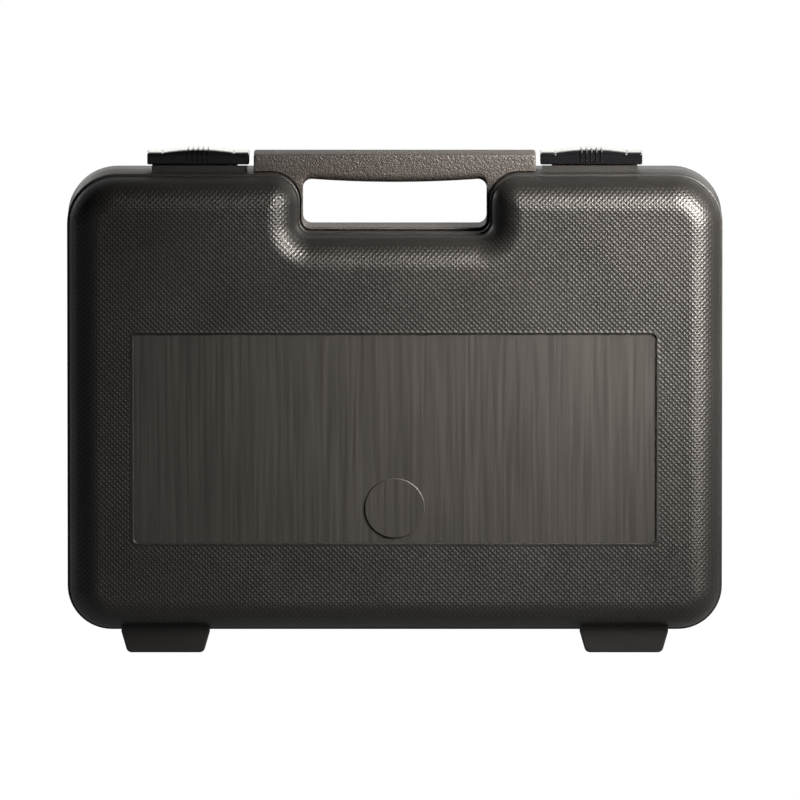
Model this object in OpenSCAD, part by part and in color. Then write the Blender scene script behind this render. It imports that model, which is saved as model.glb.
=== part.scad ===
// Hard microphone case: two domed twin-wall halves that hinge along their feet,
// a closed grip ring in a notch of the top edge, and two latches that slide
// along the top edge. It stands on its feet with the lid towards -Y, and the
// halves meet at the plane y = 0.

/* [Case] */
// Width of the case
case_w = 340; // [310:1:420]
// Height of the case body, without its feet and handle
body_h = 238; // [210:1:300]
// Depth of each half, from the parting plane to its face
half_d = 42; // [40:0.5:60]
// Radius of the two top corners
top_r = 26; // [22:1:34]
// Radius of the two bottom corners
bottom_r = 23; // [20:1:34]
// Gap between the rims of the closed halves
seam_gap = 0.4; // [0.2:0.1:0.6]

/* [Dome] */
// Depth of the straight rim, before the dome starts
rim_d = 20; // [16:0.5:24]
// Width of the small ledge between the rim and the dome
ledge_w = 1.2; // [0.8:0.1:2]
// Rounding of the rim's front edge
rim_edge_r = 0.5; // [0.3:0.1:0.7]
// Width of the rounded band between the ledge and the flat face
blend_w = 16; // [10:0.5:18]

/* [Twin wall] */
// Thickness of the closed twin wall along the sides
wall_t = 10; // [8:0.5:12]
// Thickness of the closed twin wall at the face
floor_t = 6; // [5:0.5:8]
// Distance of the locating tongue from the outside
tongue_in = 3.6; // [3:0.1:4.5]
// Thickness of the tongue
tongue_w = 2; // [1.5:0.1:2.5]
// Reach of the tongue past the parting plane
tongue_h = 2; // [1:0.1:3]
// Play of the tongue in its groove
tongue_play = 0.4; // [0.3:0.05:0.6]

/* [Face panel] */
// Distance of the sunk panel from the sides of the case
panel_side = 34.5; // [30:0.5:80]
// Height of the panel's lower edge over the body's bottom
panel_up = 47.8; // [40:0.2:70]
// Distance of the panel's upper edge below the notch
panel_drop = 50.4; // [20:0.2:90]
// Depth of the sunk panel
panel_sink = 1; // [0.5:0.1:1.5]
// Corner radius of the panel
panel_r = 2.6; // [1:0.1:6]
// Radius of the raised disc
disc_r = 15.5; // [10:0.5:20]
// Height of the disc's centre over the panel's lower edge
disc_up = 18.3; // [16:0.1:40]
// Thickness of the raised disc
disc_t = 0.8; // [0.4:0.1:1]

/* [Handle] */
// Width of the notch in the top edge
notch_w = 98.6; // [92:0.2:120]
// Depth of the notch below the top edge
notch_h = 30.4; // [28:0.2:40]
// Radius of the notch's upper shoulders
shoulder_r = 15; // [12:0.5:18]
// Radius of the notch's lower corners
notch_r = 6; // [5:0.5:8]
// Length of each end of the handle that lies on the top edge beside the notch
handle_lap = 23.9; // [20:0.1:26]
// Depth of the handle from front to back
handle_d = 24; // [20:0.5:28]
// Height of the handle's top over the case's top edge
handle_rise = 9.3; // [8:0.1:12]
// Height of the grip at its middle
grip_h = 14.8; // [12:0.1:16]
// How much the underside of the grip bows down in the middle
grip_bow = 1.6; // [0:0.1:3]
// Rounding of the grip's lower edges
grip_r = 4.5; // [2:0.5:5]
// Rounding of the handle's top edges
crown_r = 1.2; // [0.5:0.1:2]
// Thickness of the ring along the sides and floor of the notch
liner_t = 1.6; // [1.2:0.1:3]
// Corner radius of the finger opening
opening_r = 4.6; // [3:0.1:6]
// Play between the handle and the lid
handle_play = 0.4; // [0.3:0.05:0.8]
// Width, depth and length of the tenons that hold the handle in the base
tenon = [7, 5, 7]; // [3:0.5:9]
// Distance of the tenons from the end and the back of the handle
tenon_in = [0.6, 3]; // [0.2:0.1:6]

/* [Feet and hinge] */
// Distance of the feet from the rounded bottom corners
foot_gap = 5; // [0:0.5:40]
// Width of a foot where it leaves the body
foot_w = 46; // [40:0.5:50]
// How much each side of a foot leans in down to the floor
foot_draft = 3.2; // [1:0.1:4]
// Height of the feet
foot_h = 11; // [11:0.5:14]
// Reach of the feet in front of and behind the parting plane
foot_d = 30; // [24:0.5:32]
// Rounding of the lower corners of the feet
foot_r = 3; // [1:0.5:4]
// Outer radius of the hinge knuckles
knuckle_r = 4.5; // [4:0.1:4.8]
// Length of the lid's knuckle
lid_knuckle_w = 19; // [12:0.5:24]
// Distance of the outer knuckles' ends from the sides of the sole
knuckle_in = 0.4; // [0.2:0.1:2]
// Gap between neighbouring knuckles
knuckle_gap = 0.3; // [0.2:0.05:0.5]
// Radius of the hinge pins
pin_r = 2; // [1.5:0.1:2.2]
// Radial play of a pin in the lid's knuckle
pin_play = 0.06; // [0.03:0.01:0.1]
// Radial play of a pin in the base's knuckles
pin_seat = 0.01; // [0.01:0.01:0.02]
// Angle at which the heels of the feet meet and stop the lid
heel_angle = 106; // [90:1:120]

/* [Latches] */
// Gap between the handle and a released latch
latch_gap = 2.3; // [1:0.1:10]
// Length of a latch slide
latch_w = 53; // [53:0.5:56]
// Depth of a latch slide, half of it on each side of the parting plane
latch_d = 17; // [16.6:0.1:18]
// Height of a latch slide at its ends
latch_t = 6; // [6:0.1:8]
// Length of the hump along the slide
hump_w = 37; // [30:0.5:40]
// Height of the hump
hump_h = 1.4; // [0.8:0.1:2]
// Number of grip ribs
rib_count = 5; // [3:2:7]
// Distance between grip ribs
rib_pitch = 2.6; // [2:0.1:3]
// Width of a grip rib
rib_w = 0.9; // [0.6:0.1:1.2]
// Height of a grip rib
rib_h = 0.45; // [0.3:0.05:0.8]
// Distance of the ribs' lower ends above the slide's underside
rib_up = 1.6; // [0.5:0.1:3]
// Travel of a latch from released to locked
latch_travel = 9; // [8:0.5:9]
// Height of the gap that the slides leave over the case's top edge
latch_lift = 3.6; // [3.4:0.1:4]
// Gap between the slides and the lid's keepers under them
keeper_clear = 0.5; // [0.4:0.1:1]
// Thickness of the walls of strips, keepers and teeth
keeper_t = 1.6; // [1.2:0.1:1.8]
// Length of a tooth under the slide
tooth_w = 7; // [6:0.5:7]
// Gap between the teeth and the case's top edge
tooth_clear = 0.6; // [0.4:0.1:1]
// Thickness of the slide's wall behind its rail
slide_wall = 1.4; // [1:0.1:2]
// Play of the slide on its rail and of the teeth
latch_play = 0.3; // [0.25:0.05:0.4]

/* [Foam] */
// Gap between the foam and the walls
foam_gap = 0.5; // [0.3:0.1:1]
// Thickness of the sheet under the foam tray
backing_t = 10; // [5:1:14]
// Thickness of the pad in the lid
lid_foam_t = 18; // [10:1:24]
// Width of the microphone pocket
mic_pocket_h = 56; // [40:1:80]
// Distance of the pocket for clips and cables below the notch
clip_pocket_drop = 41.6; // [20:0.2:80]
// Corner radius of the clip pocket
clip_pocket_r = 12; // [4:1:20]
// Radius of the pocket for a shock mount
mount_pocket_r = 50; // [30:1:54]
// Width of the foam left around and between pockets
pocket_rib = 14; // [10:1:20]
// Width of the foam left beside the shock mount's pocket
mount_rib = 16; // [10:1:24]

/* [Hidden] */

shell_colour = "#33312f";
grain_colour = "#3b3937";
gloss_colour = "#0c0c0e";
steel_colour = "#b9bcc0";
foam_colour = "#4a4a4e";

eps = 0.01;          // overlap of joined solids and overshoot of cuts
corner_steps = 8;    // facets in each quarter turn of the outline
blend_steps = 9;     // rings between the ledge and the flat face
bow_steps = 10;      // facets along the bowed underside of the grip
grip_steps = 4;      // rings in the rounding of the grip
least_r = 1;         // smallest radius left on an inset corner
root = 1;            // depth to which ribs and tenons run into what they stand on
pin_in = 1;          // distance of a pin's ends inside the outer knuckles

half_gap = seam_gap / 2;
body_low = foot_h;
body_top = foot_h + body_h;
notch_low = body_top - notch_h;
hinge_z = knuckle_r;
cavity_d = half_d - floor_t;
panel_w = case_w - 2 * panel_side;
panel_h = notch_low - panel_drop - body_low - panel_up;
handle_w = notch_w + 2 * handle_lap;
handle_top = body_top + handle_rise;
grip_low = handle_top - grip_h;
opening_low = notch_low + liner_t;
opening_half = notch_w / 2 - liner_t;
foot_x = case_w / 2 - bottom_r - foot_gap - foot_w / 2;
knuckle_half = foot_w / 2 - foot_draft - knuckle_in;
pin_half = knuckle_half - pin_in;
latch_x = handle_w / 2 + latch_gap + latch_w / 2;
slide_low = body_top + latch_lift;
slide_top = slide_low + latch_t;

// T rail on the base and the channel that runs on it, across the case (y) and up (z)
rail_stem_w = 2;
rail_head_w = 4.8;
rail_head_t = 1.6;
rail_y = latch_d / 2 - slide_wall - latch_play - rail_head_w / 2;
lip_t = 1.2;
rail_head_low = slide_low + lip_t + latch_play;
rail_top = rail_head_low + rail_head_t;
channel_end_t = 2.2;
channel_half = latch_w / 2 - channel_end_t;

// teeth of the slides and keepers of the lid, across the case
strip_y = -latch_d / 2;
strip_t = keeper_t - 0.2;
strip_ends = [1, 2.4];
tooth_y = strip_y + strip_t + latch_play + 0.4;
keeper_y = tooth_y + keeper_t + latch_play + 0.3;
keeper_h = latch_lift - keeper_clear;
keeper_w = latch_travel - 1;
tooth_pitch = keeper_w + latch_travel;

// --- outlines in the plane of the case, x across and z up -------------------

// Points of an arc about c, from angle a0 to a1
function arc(c, r, a0, a1, n = corner_steps) =
    [for (i = [0:n]) let (a = a0 + (a1 - a0) * i / n) c + r * [cos(a), sin(a)]];

// Convex corner at p, whose sides run off towards dir, moved inwards by inset
function convex(p, dir, r, inset, a0) =
    let (left = max(r - inset, least_r)) arc(p + (inset + left) * dir, left, a0, a0 + 90);

// Outline of a half, moved inwards by inset; its notch grows by as much
function outline(inset = 0) = let (
    side = case_w / 2,
    n = notch_w / 2,
    n_c = [n - notch_r, notch_low + notch_r]
) concat(
    convex([side, body_low], [-1, 1], bottom_r, inset, -90),
    convex([side, body_top], [-1, -1], top_r, inset, 0),
    convex([n, body_top], [1, -1], shoulder_r, inset, 90),
    arc(n_c, notch_r + inset, 0, -90),
    arc([-n_c[0], n_c[1]], notch_r + inset, -90, -180),
    convex([-n, body_top], [-1, -1], shoulder_r, inset, 0),
    convex([-side, body_top], [1, -1], top_r, inset, 90),
    convex([-side, body_low], [1, 1], bottom_r, inset, 180)
);

// Inside of the notch, less play, closed at the top of the case
function notch_fill(play) = let (
    n = notch_w / 2,
    n_c = [n - notch_r, notch_low + notch_r],
    s_c = [n + shoulder_r, body_top - shoulder_r]
) concat(
    arc([-n_c[0], n_c[1]], notch_r - play, 180, 270),
    arc(n_c, notch_r - play, 270, 360),
    arc(s_c, shoulder_r + play, 180, 90),
    arc([-s_c[0], s_c[1]], shoulder_r + play, 90, 0)
);

// Finger opening, whose bowed top is raised by lift
function finger_opening(lift = 0) = let (
    x = opening_half - opening_r,
    low = opening_low + opening_r,
    high = grip_low + grip_bow - opening_r + lift
) concat(
    arc([-x, low], opening_r, 180, 270),
    arc([x, low], opening_r, 270, 360),
    arc([x, high], opening_r, 0, 90),
    [for (i = [1:bow_steps - 1]) let (t = 1 - 2 * i / bow_steps)
        [x * t, high + opening_r - grip_bow * (1 - t * t)]],
    arc([-x, high], opening_r, 90, 180)
);

// Puts what is drawn for the right latch in its place, or its mirror image for side -1
module at_latch(side) {
    mirror([side < 0 ? 1 : 0, 0, 0]) translate([latch_x, 0, 0]) children();
}

// Extrudes a shape of the x-z plane from y0 to y1
module across(y0, y1) {
    translate([0, y1, 0]) rotate([90, 0, 0]) linear_extrude(y1 - y0) children();
}

// Extrudes a shape of the y-z plane from x0 to x1
module along(x0, x1) {
    translate([x0, 0, 0]) rotate([90, 0, 90]) linear_extrude(x1 - x0) children();
}

// Block from corner a to corner b
module block(a, b) {
    translate(a) cube(b - a);
}

// --- moulded halves, drawn as the rear half --------------------------------

// Inset and depth of each ring of the dome
function dome_rings() = concat(
    [[0, half_gap], [0, rim_d - rim_edge_r],
     [rim_edge_r * (1 - cos(45)), rim_d - rim_edge_r * (1 - sin(45))],
     [rim_edge_r, rim_d], [ledge_w, rim_d]],
    [for (i = [1:blend_steps]) let (a = 90 * i / blend_steps)
        [ledge_w + blend_w * (1 - cos(a)), rim_d + (half_d - rim_d) * sin(a)]]
);

// Triangles that join vertex v to the chain of vertices from first to last
function fan(v, first, last) = [for (i = [first:last - 1]) [v, i, i + 1]];

// Faces of the flat U-shaped outline, seen with its points running anticlockwise: one fan on each
// side of the notch, and one below it
function outline_cap() = let (
    n = corner_steps + 1,
    right = n - 1,
    left = 7 * n,
    below = concat([for (i = [left:8 * n - 1]) i], [for (i = [0:right]) i], [4 * n - 1])
) concat(
    fan(right, n, 4 * n - 1),
    fan(left, 4 * n, left - 1),
    [for (i = [0:len(below) - 2]) [4 * n, below[i], below[i + 1]]]
);

module dome() {
    rings = dome_rings();
    points = [for (r = rings) for (p = outline(r[0])) [p[0], r[1], p[1]]];
    n = len(outline());
    last = len(rings) - 1;
    front = [for (f = outline_cap()) [f[2], f[1], f[0]]];
    face = [for (f = outline_cap()) f + last * n * [1, 1, 1]];
    sides = [for (k = [0:last - 1]) for (i = [0:n - 1]) let (
        j = (i + 1) % n,
        a = k * n + i,
        b = k * n + j
    ) each [[a, b, a + n], [b, b + n, a + n]]];
    polyhedron(points, concat(front, face, sides));
}

module ring_2d(inset, width) {
    difference() {
        polygon(outline(inset));
        polygon(outline(inset + width));
    }
}

// Side view of a foot: flat sole, upright back, and a heel that leans to the hinge axis
function foot_side() = [
    [foot_d, 0],
    [hinge_z * tan(heel_angle / 2), 0],
    [0, hinge_z],
    [0, hinge_z + knuckle_r],
    [half_gap, hinge_z + knuckle_r],
    [half_gap, body_low + tongue_in],
    [foot_d, body_low + wall_t - eps]
];

// Front view of a foot: sides that lean in to rounded lower corners
function foot_front() = let (
    half = foot_w / 2,
    top = body_low + wall_t,
    lean = foot_draft / foot_h,
    c = half - foot_draft - foot_r * (sqrt(1 + lean * lean) - lean)
) concat(
    [[half, body_low], [half, top], [-half, top], [-half, body_low]],
    arc([-c, foot_r], foot_r, 180 + atan(lean), 270),
    arc([c, foot_r], foot_r, 270, 360 - atan(lean))
);

module knuckle(x0, x1, r = knuckle_r) {
    translate([x0, 0, hinge_z]) rotate([0, 90, 0]) cylinder(r = r, h = x1 - x0, $fn = 64);
}

// Foot block without its knuckles, cleared for those of the other half
module foot_block(clear_x) {
    difference() {
        intersection() {
            across(0, foot_d) polygon(foot_front());
            along(-foot_w, foot_w) polygon(foot_side());
        }
        for (x = clear_x) knuckle(x[0], x[1], knuckle_r + handle_play);
    }
}

module base_foot() {
    inner = lid_knuckle_w / 2 + knuckle_gap;
    union() {
        foot_block([[-inner, inner]]);
        for (s = [-1, 1])
            knuckle(min(s * inner, s * knuckle_half), max(s * inner, s * knuckle_half));
    }
}

module lid_foot() {
    inner = lid_knuckle_w / 2;
    union() {
        mirror([0, 1, 0]) foot_block([[-foot_w, -inner], [inner, foot_w]]);
        knuckle(-inner, inner);
    }
}

module hinge_pin(side) {
    color(steel_colour) translate([side * foot_x, 0, 0]) knuckle(-pin_half, pin_half, pin_r);
}

// --- rear half ----------------------------------------------------------------

// T rail for one slide, with u measured outwards from the middle of the latch
module rail() {
    u0 = -channel_half + latch_travel + latch_play;
    u1 = channel_half - latch_play;
    union() {
        block([u0, rail_y - rail_stem_w / 2, body_top - root],
            [u1, rail_y + rail_stem_w / 2, rail_top]);
        block([u0, rail_y - rail_head_w / 2, rail_head_low],
            [u1, rail_y + rail_head_w / 2, rail_top]);
    }
}

module tenons(play = 0) {
    x = handle_w / 2 - tenon_in[0] - tenon[0] / 2;
    y = handle_d / 2 - tenon_in[1] - tenon[1] / 2;
    for (s = [-1, 1])
        block([s * x - tenon[0] / 2 - play, y - tenon[1] / 2 - play, body_top - tenon[2] - play],
            [s * x + tenon[0] / 2 + play, y + tenon[1] / 2 + play, body_top + root]);
}

module base_shell() {
    color(shell_colour) difference() {
        union() {
            dome();
            across(-tongue_h, half_gap + eps) ring_2d(tongue_in, tongue_w);
            for (s = [-1, 1]) {
                translate([s * foot_x, 0, 0]) base_foot();
                at_latch(s) rail();
            }
        }
        across(-eps, cavity_d) polygon(outline(wall_t));
        tenons(pin_seat);
        for (s = [-1, 1])
            translate([s * foot_x, 0, 0])
                knuckle(-pin_half - pin_seat, pin_half + pin_seat, pin_r + pin_seat);
    }
}

// --- front half -----------------------------------------------------------------

// Strip in front of the teeth and two keepers behind them, which stand on the lid's top edge
module lid_keepers() {
    color(shell_colour) {
        block([-latch_w / 2 + strip_ends[0], strip_y, body_top],
            [latch_w / 2 - strip_ends[1], strip_y + strip_t, body_top + keeper_h]);
        for (s = [-1, 1])
            block([s * tooth_pitch / 2 - keeper_w / 2, keeper_y, body_top],
                [s * tooth_pitch / 2 + keeper_w / 2, keeper_y + keeper_t, body_top + keeper_h]);
    }
}

module rounded_2d(w, h, r) {
    polygon(concat(
        arc([w / 2 - r, r], r, -90, 0), arc([w / 2 - r, h - r], r, 0, 90),
        arc([r - w / 2, h - r], r, 90, 180), arc([r - w / 2, r], r, 180, 270)));
}

module panel_cut() {
    difference() {
        across(-half_d - 1, -half_d + panel_sink)
            translate([0, body_low + panel_up]) rounded_2d(panel_w, panel_h, panel_r);
        translate([0, 1 - half_d + panel_sink, body_low + panel_up + disc_up])
            rotate([90, 0, 0]) cylinder(r = disc_r, h = disc_t + 1, $fn = 96);
    }
}

module lid_shell() {
    color(shell_colour) difference() {
        union() {
            mirror([0, 1, 0]) dome();
            for (s = [-1, 1])
                translate([s * foot_x, 0, 0]) lid_foot();
        }
        across(-cavity_d, eps) polygon(outline(wall_t));
        across(-tongue_h - tongue_play, eps)
            ring_2d(tongue_in - tongue_play, tongue_w + 2 * tongue_play);
        panel_cut();
        for (s = [-1, 1])
            translate([s * foot_x, 0, 0])
                knuckle(-lid_knuckle_w / 2 - 1, lid_knuckle_w / 2 + 1, pin_r + pin_play);
    }
}

// --- handle -----------------------------------------------------------------------

// Ring and bar on one side of the parting plane
module handle_half(y0, y1, play) {
    across(y0, y1) union() {
        polygon(notch_fill(play));
        translate([-handle_w / 2, body_top + play])
            square([handle_w, handle_rise - play]);
    }
}

// Rounding at the lower front edge of the grip, as rings that rise towards y = -handle_d/2
module grip_rounding() {
    steps = [for (i = [0:grip_steps]) 90 * i / grip_steps];
    points = [for (a = steps) for (p = finger_opening(grip_r * (1 - cos(a))))
        [p[0], -handle_d / 2 + grip_r * (1 - sin(a)) - (a == 90 ? eps : 0), p[1]]];
    n = len(finger_opening());
    inner = [for (i = [0:n - 1]) i];
    outer = [for (i = [n - 1:-1:0]) grip_steps * n + i];
    sides = [for (k = [0:grip_steps - 1]) for (i = [0:n - 1]) let (
        j = (i + 1) % n,
        a = k * n + i,
        b = k * n + j
    ) each [[b, a, a + n], [b, a + n, b + n]]];
    polyhedron(points, concat([inner, outer], sides));
}

module handle() {
    d = handle_d / 2;
    color(grain_colour) union() {
        difference() {
            union() {
                handle_half(-d, 0, handle_play);
                handle_half(-eps, d, 0);
            }
            across(-d - 1, d + 1) polygon(finger_opening());
            grip_rounding();
            mirror([0, 1, 0]) grip_rounding();
            for (s = [-1, 1]) along(-handle_w, handle_w) difference() {
                translate([s * (d - crown_r / 2 + eps), handle_top - crown_r / 2 + eps])
                    square(crown_r, center = true);
                translate([s * (d - crown_r), handle_top - crown_r]) circle(crown_r, $fn = 32);
            }
        }
        tenons();
    }
}

// --- latches ------------------------------------------------------------------------

// Front view of the slide: flat ends and a hump between two small grooves
function slide_front() = let (
    half = latch_w / 2,
    h = hump_w / 2,
    groove = 0.4
) concat(
    [[-half, slide_low], [half, slide_low], [half, slide_top]],
    [[h + groove, slide_top], [h, slide_top - groove]],
    [for (i = [0:12]) let (t = 1 - i / 6)
        [(h - groove) * t, slide_top + hump_h * (1 - t * t)]],
    [[-h, slide_top - groove], [-h - groove, slide_top], [-half, slide_top]]
);

// Height of the hump at u
function hump_z(u) = slide_top + hump_h * (1 - pow(u / (hump_w / 2), 2));

module latch_slide() {
    y = latch_d / 2;
    head = rail_head_w / 2 + latch_play;
    stem = rail_stem_w / 2 + latch_play;
    color(gloss_colour) difference() {
        union() {
            across(-y, y) polygon(slide_front());
            for (i = [0:rib_count - 1]) let (u = (i - (rib_count - 1) / 2) * rib_pitch)
                block([u - rib_w / 2, -y - rib_h, slide_low + rib_up],
                    [u + rib_w / 2, y, hump_z(u) + rib_h]);
        }
        block([-channel_half, rail_y - head, slide_low + lip_t],
            [channel_half, rail_y + head, rail_top + latch_play]);
        block([-channel_half, rail_y - stem, slide_low - 1],
            [channel_half, rail_y + stem, slide_low + lip_t + 1]);
    }
}

// Teeth under the slide, which move outwards to stand in front of the keepers
module latch_teeth() {
    color(gloss_colour) for (k = [-1, 0])
        block([k * tooth_pitch - tooth_w / 2, tooth_y, body_top + tooth_clear],
            [k * tooth_pitch + tooth_w / 2, tooth_y + keeper_t, slide_low]);
}

// --- foam ---------------------------------------------------------------------------

module foam_layer(y0, y1) {
    across(y0, y1) polygon(outline(wall_t + foam_gap));
}

module pockets_2d() {
    left = -case_w / 2 + wall_t + pocket_rib;
    low = body_low + wall_t + pocket_rib;
    mic_r = mic_pocket_h / 2;
    w = -left - 2 * mount_pocket_r - mount_rib - left;
    clip_low = low + mic_pocket_h + pocket_rib;
    for (x = [mic_r, w - mic_r])
        translate([left + x, low + mic_r]) circle(mic_r, $fn = 64);
    translate([left + mic_r, low]) square([w - 2 * mic_r, mic_pocket_h]);
    translate([left + w / 2, clip_low])
        rounded_2d(w, notch_low - clip_pocket_drop - clip_low, clip_pocket_r);
    translate([-left - mount_pocket_r, clip_low]) circle(mount_pocket_r, $fn = 96);
}

module base_foam_backing() {
    color(foam_colour) foam_layer(cavity_d - backing_t, cavity_d);
}

module base_foam_tray() {
    color(foam_colour) difference() {
        foam_layer(half_gap + 1, cavity_d - backing_t);
        across(0, cavity_d) pockets_2d();
    }
}

module lid_foam() {
    color(foam_colour) foam_layer(-cavity_d, -cavity_d + lid_foam_t);
}

base_shell();
handle();
hinge_pin(-1);  // hinge_pin_left
hinge_pin(1);  // hinge_pin_right
base_foam_backing();
base_foam_tray();
lid_shell();
lid_foam();
at_latch(-1) lid_keepers();  // lid_keepers_left
at_latch(1) lid_keepers();  // lid_keepers_right
at_latch(-1) latch_slide();  // latch_slide_left
at_latch(1) latch_slide();  // latch_slide_right
at_latch(-1) latch_teeth();  // latch_teeth_left
at_latch(1) latch_teeth();  // latch_teeth_right
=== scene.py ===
"""Moulded microphone case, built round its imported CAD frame, with studio floor, lamps and camera."""
import math
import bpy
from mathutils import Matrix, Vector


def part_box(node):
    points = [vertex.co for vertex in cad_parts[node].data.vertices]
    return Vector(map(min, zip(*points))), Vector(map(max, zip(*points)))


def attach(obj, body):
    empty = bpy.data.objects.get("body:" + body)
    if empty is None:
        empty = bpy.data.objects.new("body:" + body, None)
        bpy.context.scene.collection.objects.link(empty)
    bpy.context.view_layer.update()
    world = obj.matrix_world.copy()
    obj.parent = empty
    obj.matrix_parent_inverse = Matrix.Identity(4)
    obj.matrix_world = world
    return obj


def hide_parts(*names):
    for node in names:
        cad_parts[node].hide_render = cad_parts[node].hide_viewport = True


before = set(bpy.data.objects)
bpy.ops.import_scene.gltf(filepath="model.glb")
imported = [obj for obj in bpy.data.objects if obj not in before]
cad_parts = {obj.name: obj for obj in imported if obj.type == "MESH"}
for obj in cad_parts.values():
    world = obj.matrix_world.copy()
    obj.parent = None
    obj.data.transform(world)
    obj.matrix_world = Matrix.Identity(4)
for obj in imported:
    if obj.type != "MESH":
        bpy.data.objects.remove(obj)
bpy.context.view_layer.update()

from types import SimpleNamespace

import bmesh
import bpy
import numpy as np
from mathutils import Vector
from mathutils.geometry import delaunay_2d_cdt

bl_info = {
    "name": "Moulded Microphone Case",
    "version": (1, 0, 0),
    "blender": (4, 5, 0),
    "location": "3D View > Sidebar > Case",
    "description": "Builds a hard microphone case with grained domes, grip ring, slide latches and foam",
    "category": "Object",
}

lid_low, lid_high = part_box("lid_shell")
handle_low, handle_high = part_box("handle")
slide_low, slide_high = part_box("latch_slide_right")


def linear(text):
    """Linear RGBA of an sRGB hex colour."""
    parts = [int(text[i:i + 2], 16) / 255 for i in (1, 3, 5)]
    return (*[p / 12.92 if p <= 0.04045 else ((p + 0.055) / 1.055) ** 2.4 for p in parts], 1.0)


def length(name, description, default):
    """A size in metres that the sidebar shows."""
    return bpy.props.FloatProperty(name=name, description=description, default=default,
                                   min=0, unit="LENGTH", subtype="DISTANCE", precision=4)


def colour(name, description, default):
    """A colour that the sidebar shows."""
    return bpy.props.FloatVectorProperty(name=name, description=description, default=linear(default),
                                         size=4, min=0, max=1, subtype="COLOR")


class CaseSizes(bpy.types.PropertyGroup):
    """Sizes of the case. Those of the frame come from the CAD model."""
    width: length("Case width", "Width of the case", lid_high.x - lid_low.x)
    top: length("Case top", "Height of the case's top edge over the floor", lid_high.z)
    low: length("Foot height", "Height of the body's bottom over the floor", 0.011)
    face: length("Half depth", "Depth of each half, from the parting plane to its face", -lid_low.y)
    top_r: length("Top corner", "Radius of the two top corners", 0.026)
    bottom_r: length("Bottom corner", "Radius of the two bottom corners", 0.023)
    rim: length("Rim depth", "Depth of the straight rim of each half", 0.020)
    ledge: length("Ledge", "Width of the ledge between the rim and the dome", 0.0012)
    blend: length("Blend", "Width of the rounded band round the flat face", 0.016)
    notch_w: length("Notch width", "Width of the notch in the top edge", 0.0986)
    notch_low: length("Notch floor", "Height of the notch's floor over the floor", handle_low.z)
    shoulder_r: length("Shoulder", "Radius of the notch's upper shoulders", 0.015)
    notch_r: length("Notch corner", "Radius of the notch's lower corners", 0.006)
    wall: length("Twin wall", "Thickness of the closed twin wall at the sides", 0.010)
    floor_t: length("Face wall", "Thickness of the closed twin wall at the face", 0.006)
    pitch: length("Grain pitch", "Half of the distance between the diamonds of the grain", 0.0014)
    grain_h: length("Grain height", "Height of the diamonds of the grain", 0.00021)
    panel_side: length("Panel side", "Distance of the sunk panel from the sides", 0.0345)
    panel_low: length("Panel bottom", "Height of the sunk panel's lower edge over the floor", 0.0588)
    panel_top: length("Panel top", "Height of the sunk panel's upper edge over the floor", 0.1682)
    panel_r: length("Panel corner", "Corner radius of the sunk panel", 0.0026)
    panel_sink: length("Panel depth", "Depth of the sunk panel", 0.001)
    disc_r: length("Disc radius", "Radius of the raised disc in the panel", 0.0155)
    disc_z: length("Disc height", "Height of the disc's centre over the floor", 0.0771)
    disc_t: length("Disc thickness", "Thickness of the raised disc", 0.0008)
    grip_w: length("Grip width", "Width of the grip ring's bar", handle_high.x - handle_low.x)
    grip_d: length("Grip depth", "Depth of the grip ring", handle_high.y - handle_low.y)
    grip_top: length("Grip top", "Height of the grip's top over the floor", handle_high.z)
    grip_h: length("Grip height", "Height of the grip at its middle", 0.0148)
    foot_w: length("Foot width", "Width of a foot where it leaves the body", 0.046)
    foot_d: length("Foot reach", "Reach of the feet from the parting plane", 0.030)
    knuckle_r: length("Knuckle radius", "Outer radius of the hinge knuckles", 0.0045)
    pin_r: length("Pin radius", "Radius of the hinge pins", 0.002)
    slide_w: length("Slide length", "Length of a latch slide", slide_high.x - slide_low.x)
    slide_z: length("Slide underside", "Height of the slides' underside over the floor", slide_low.z)
    slide_t: length("Slide height", "Height of a slide at its ends", 0.006)
    hump_w: length("Hump length", "Length of the hump on a slide", 0.037)
    hump_h: length("Hump height", "Height of the hump on a slide", 0.0014)
    egg_pitch: length("Foam wave", "Distance between the crests of the lid's foam", 0.024)
    egg_h: length("Foam wave height", "Height of the crests of the lid's foam", 0.007)


class CaseColours(bpy.types.PropertyGroup):
    """Colours of the case's materials and of the studio floor."""
    shell: colour("Shell", "Colour of the moulded halves", "#131211")
    # painted light: the sunk panel is the shell's own polyethylene, written lighter to paint in the
    # brighter light its smooth face shows
    panel: colour("Panel", "Colour of the sunk panel", "#211f1d")
    grip: colour("Grip", "Colour of the grip ring", "#322e2c")
    latch: colour("Latch", "Colour of the slides and teeth", "#0c0c0e")
    pin: colour("Pin", "Colour of the hinge pins", "#b9bcc0")
    foam: colour("Foam", "Colour of the foam", "#3f3f43")
    floor: colour("Floor", "Colour of the studio floor", "#5c5c5c")


def sizes():
    """The sizes in millimetres, with those that follow from them."""
    group = bpy.context.scene.case_sizes
    s = SimpleNamespace(**{k: getattr(group, k) * 1000 for k in CaseSizes.__annotations__})
    s.side = s.width / 2
    s.notch = s.notch_w / 2
    s.cavity = s.face - s.floor_t
    s.gap = 0.2
    s.hinge_z = s.knuckle_r
    s.rail_y = 4.4
    foot_in, latch_room = 5, 2.3
    s.foot_x = s.side - s.bottom_r - foot_in - s.foot_w / 2
    s.latch_x = s.grip_w / 2 + latch_room + s.slide_w / 2
    return s


# --- outlines in the x-z plane, in millimetres --------------------------------------


def arc(centre, r, start, end, steps):
    """Points of an arc, with its angles in degrees."""
    turn = np.radians(np.linspace(start, end, steps + 1))
    return np.asarray(centre, float) + r * np.stack([np.cos(turn), np.sin(turn)], 1)


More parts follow.
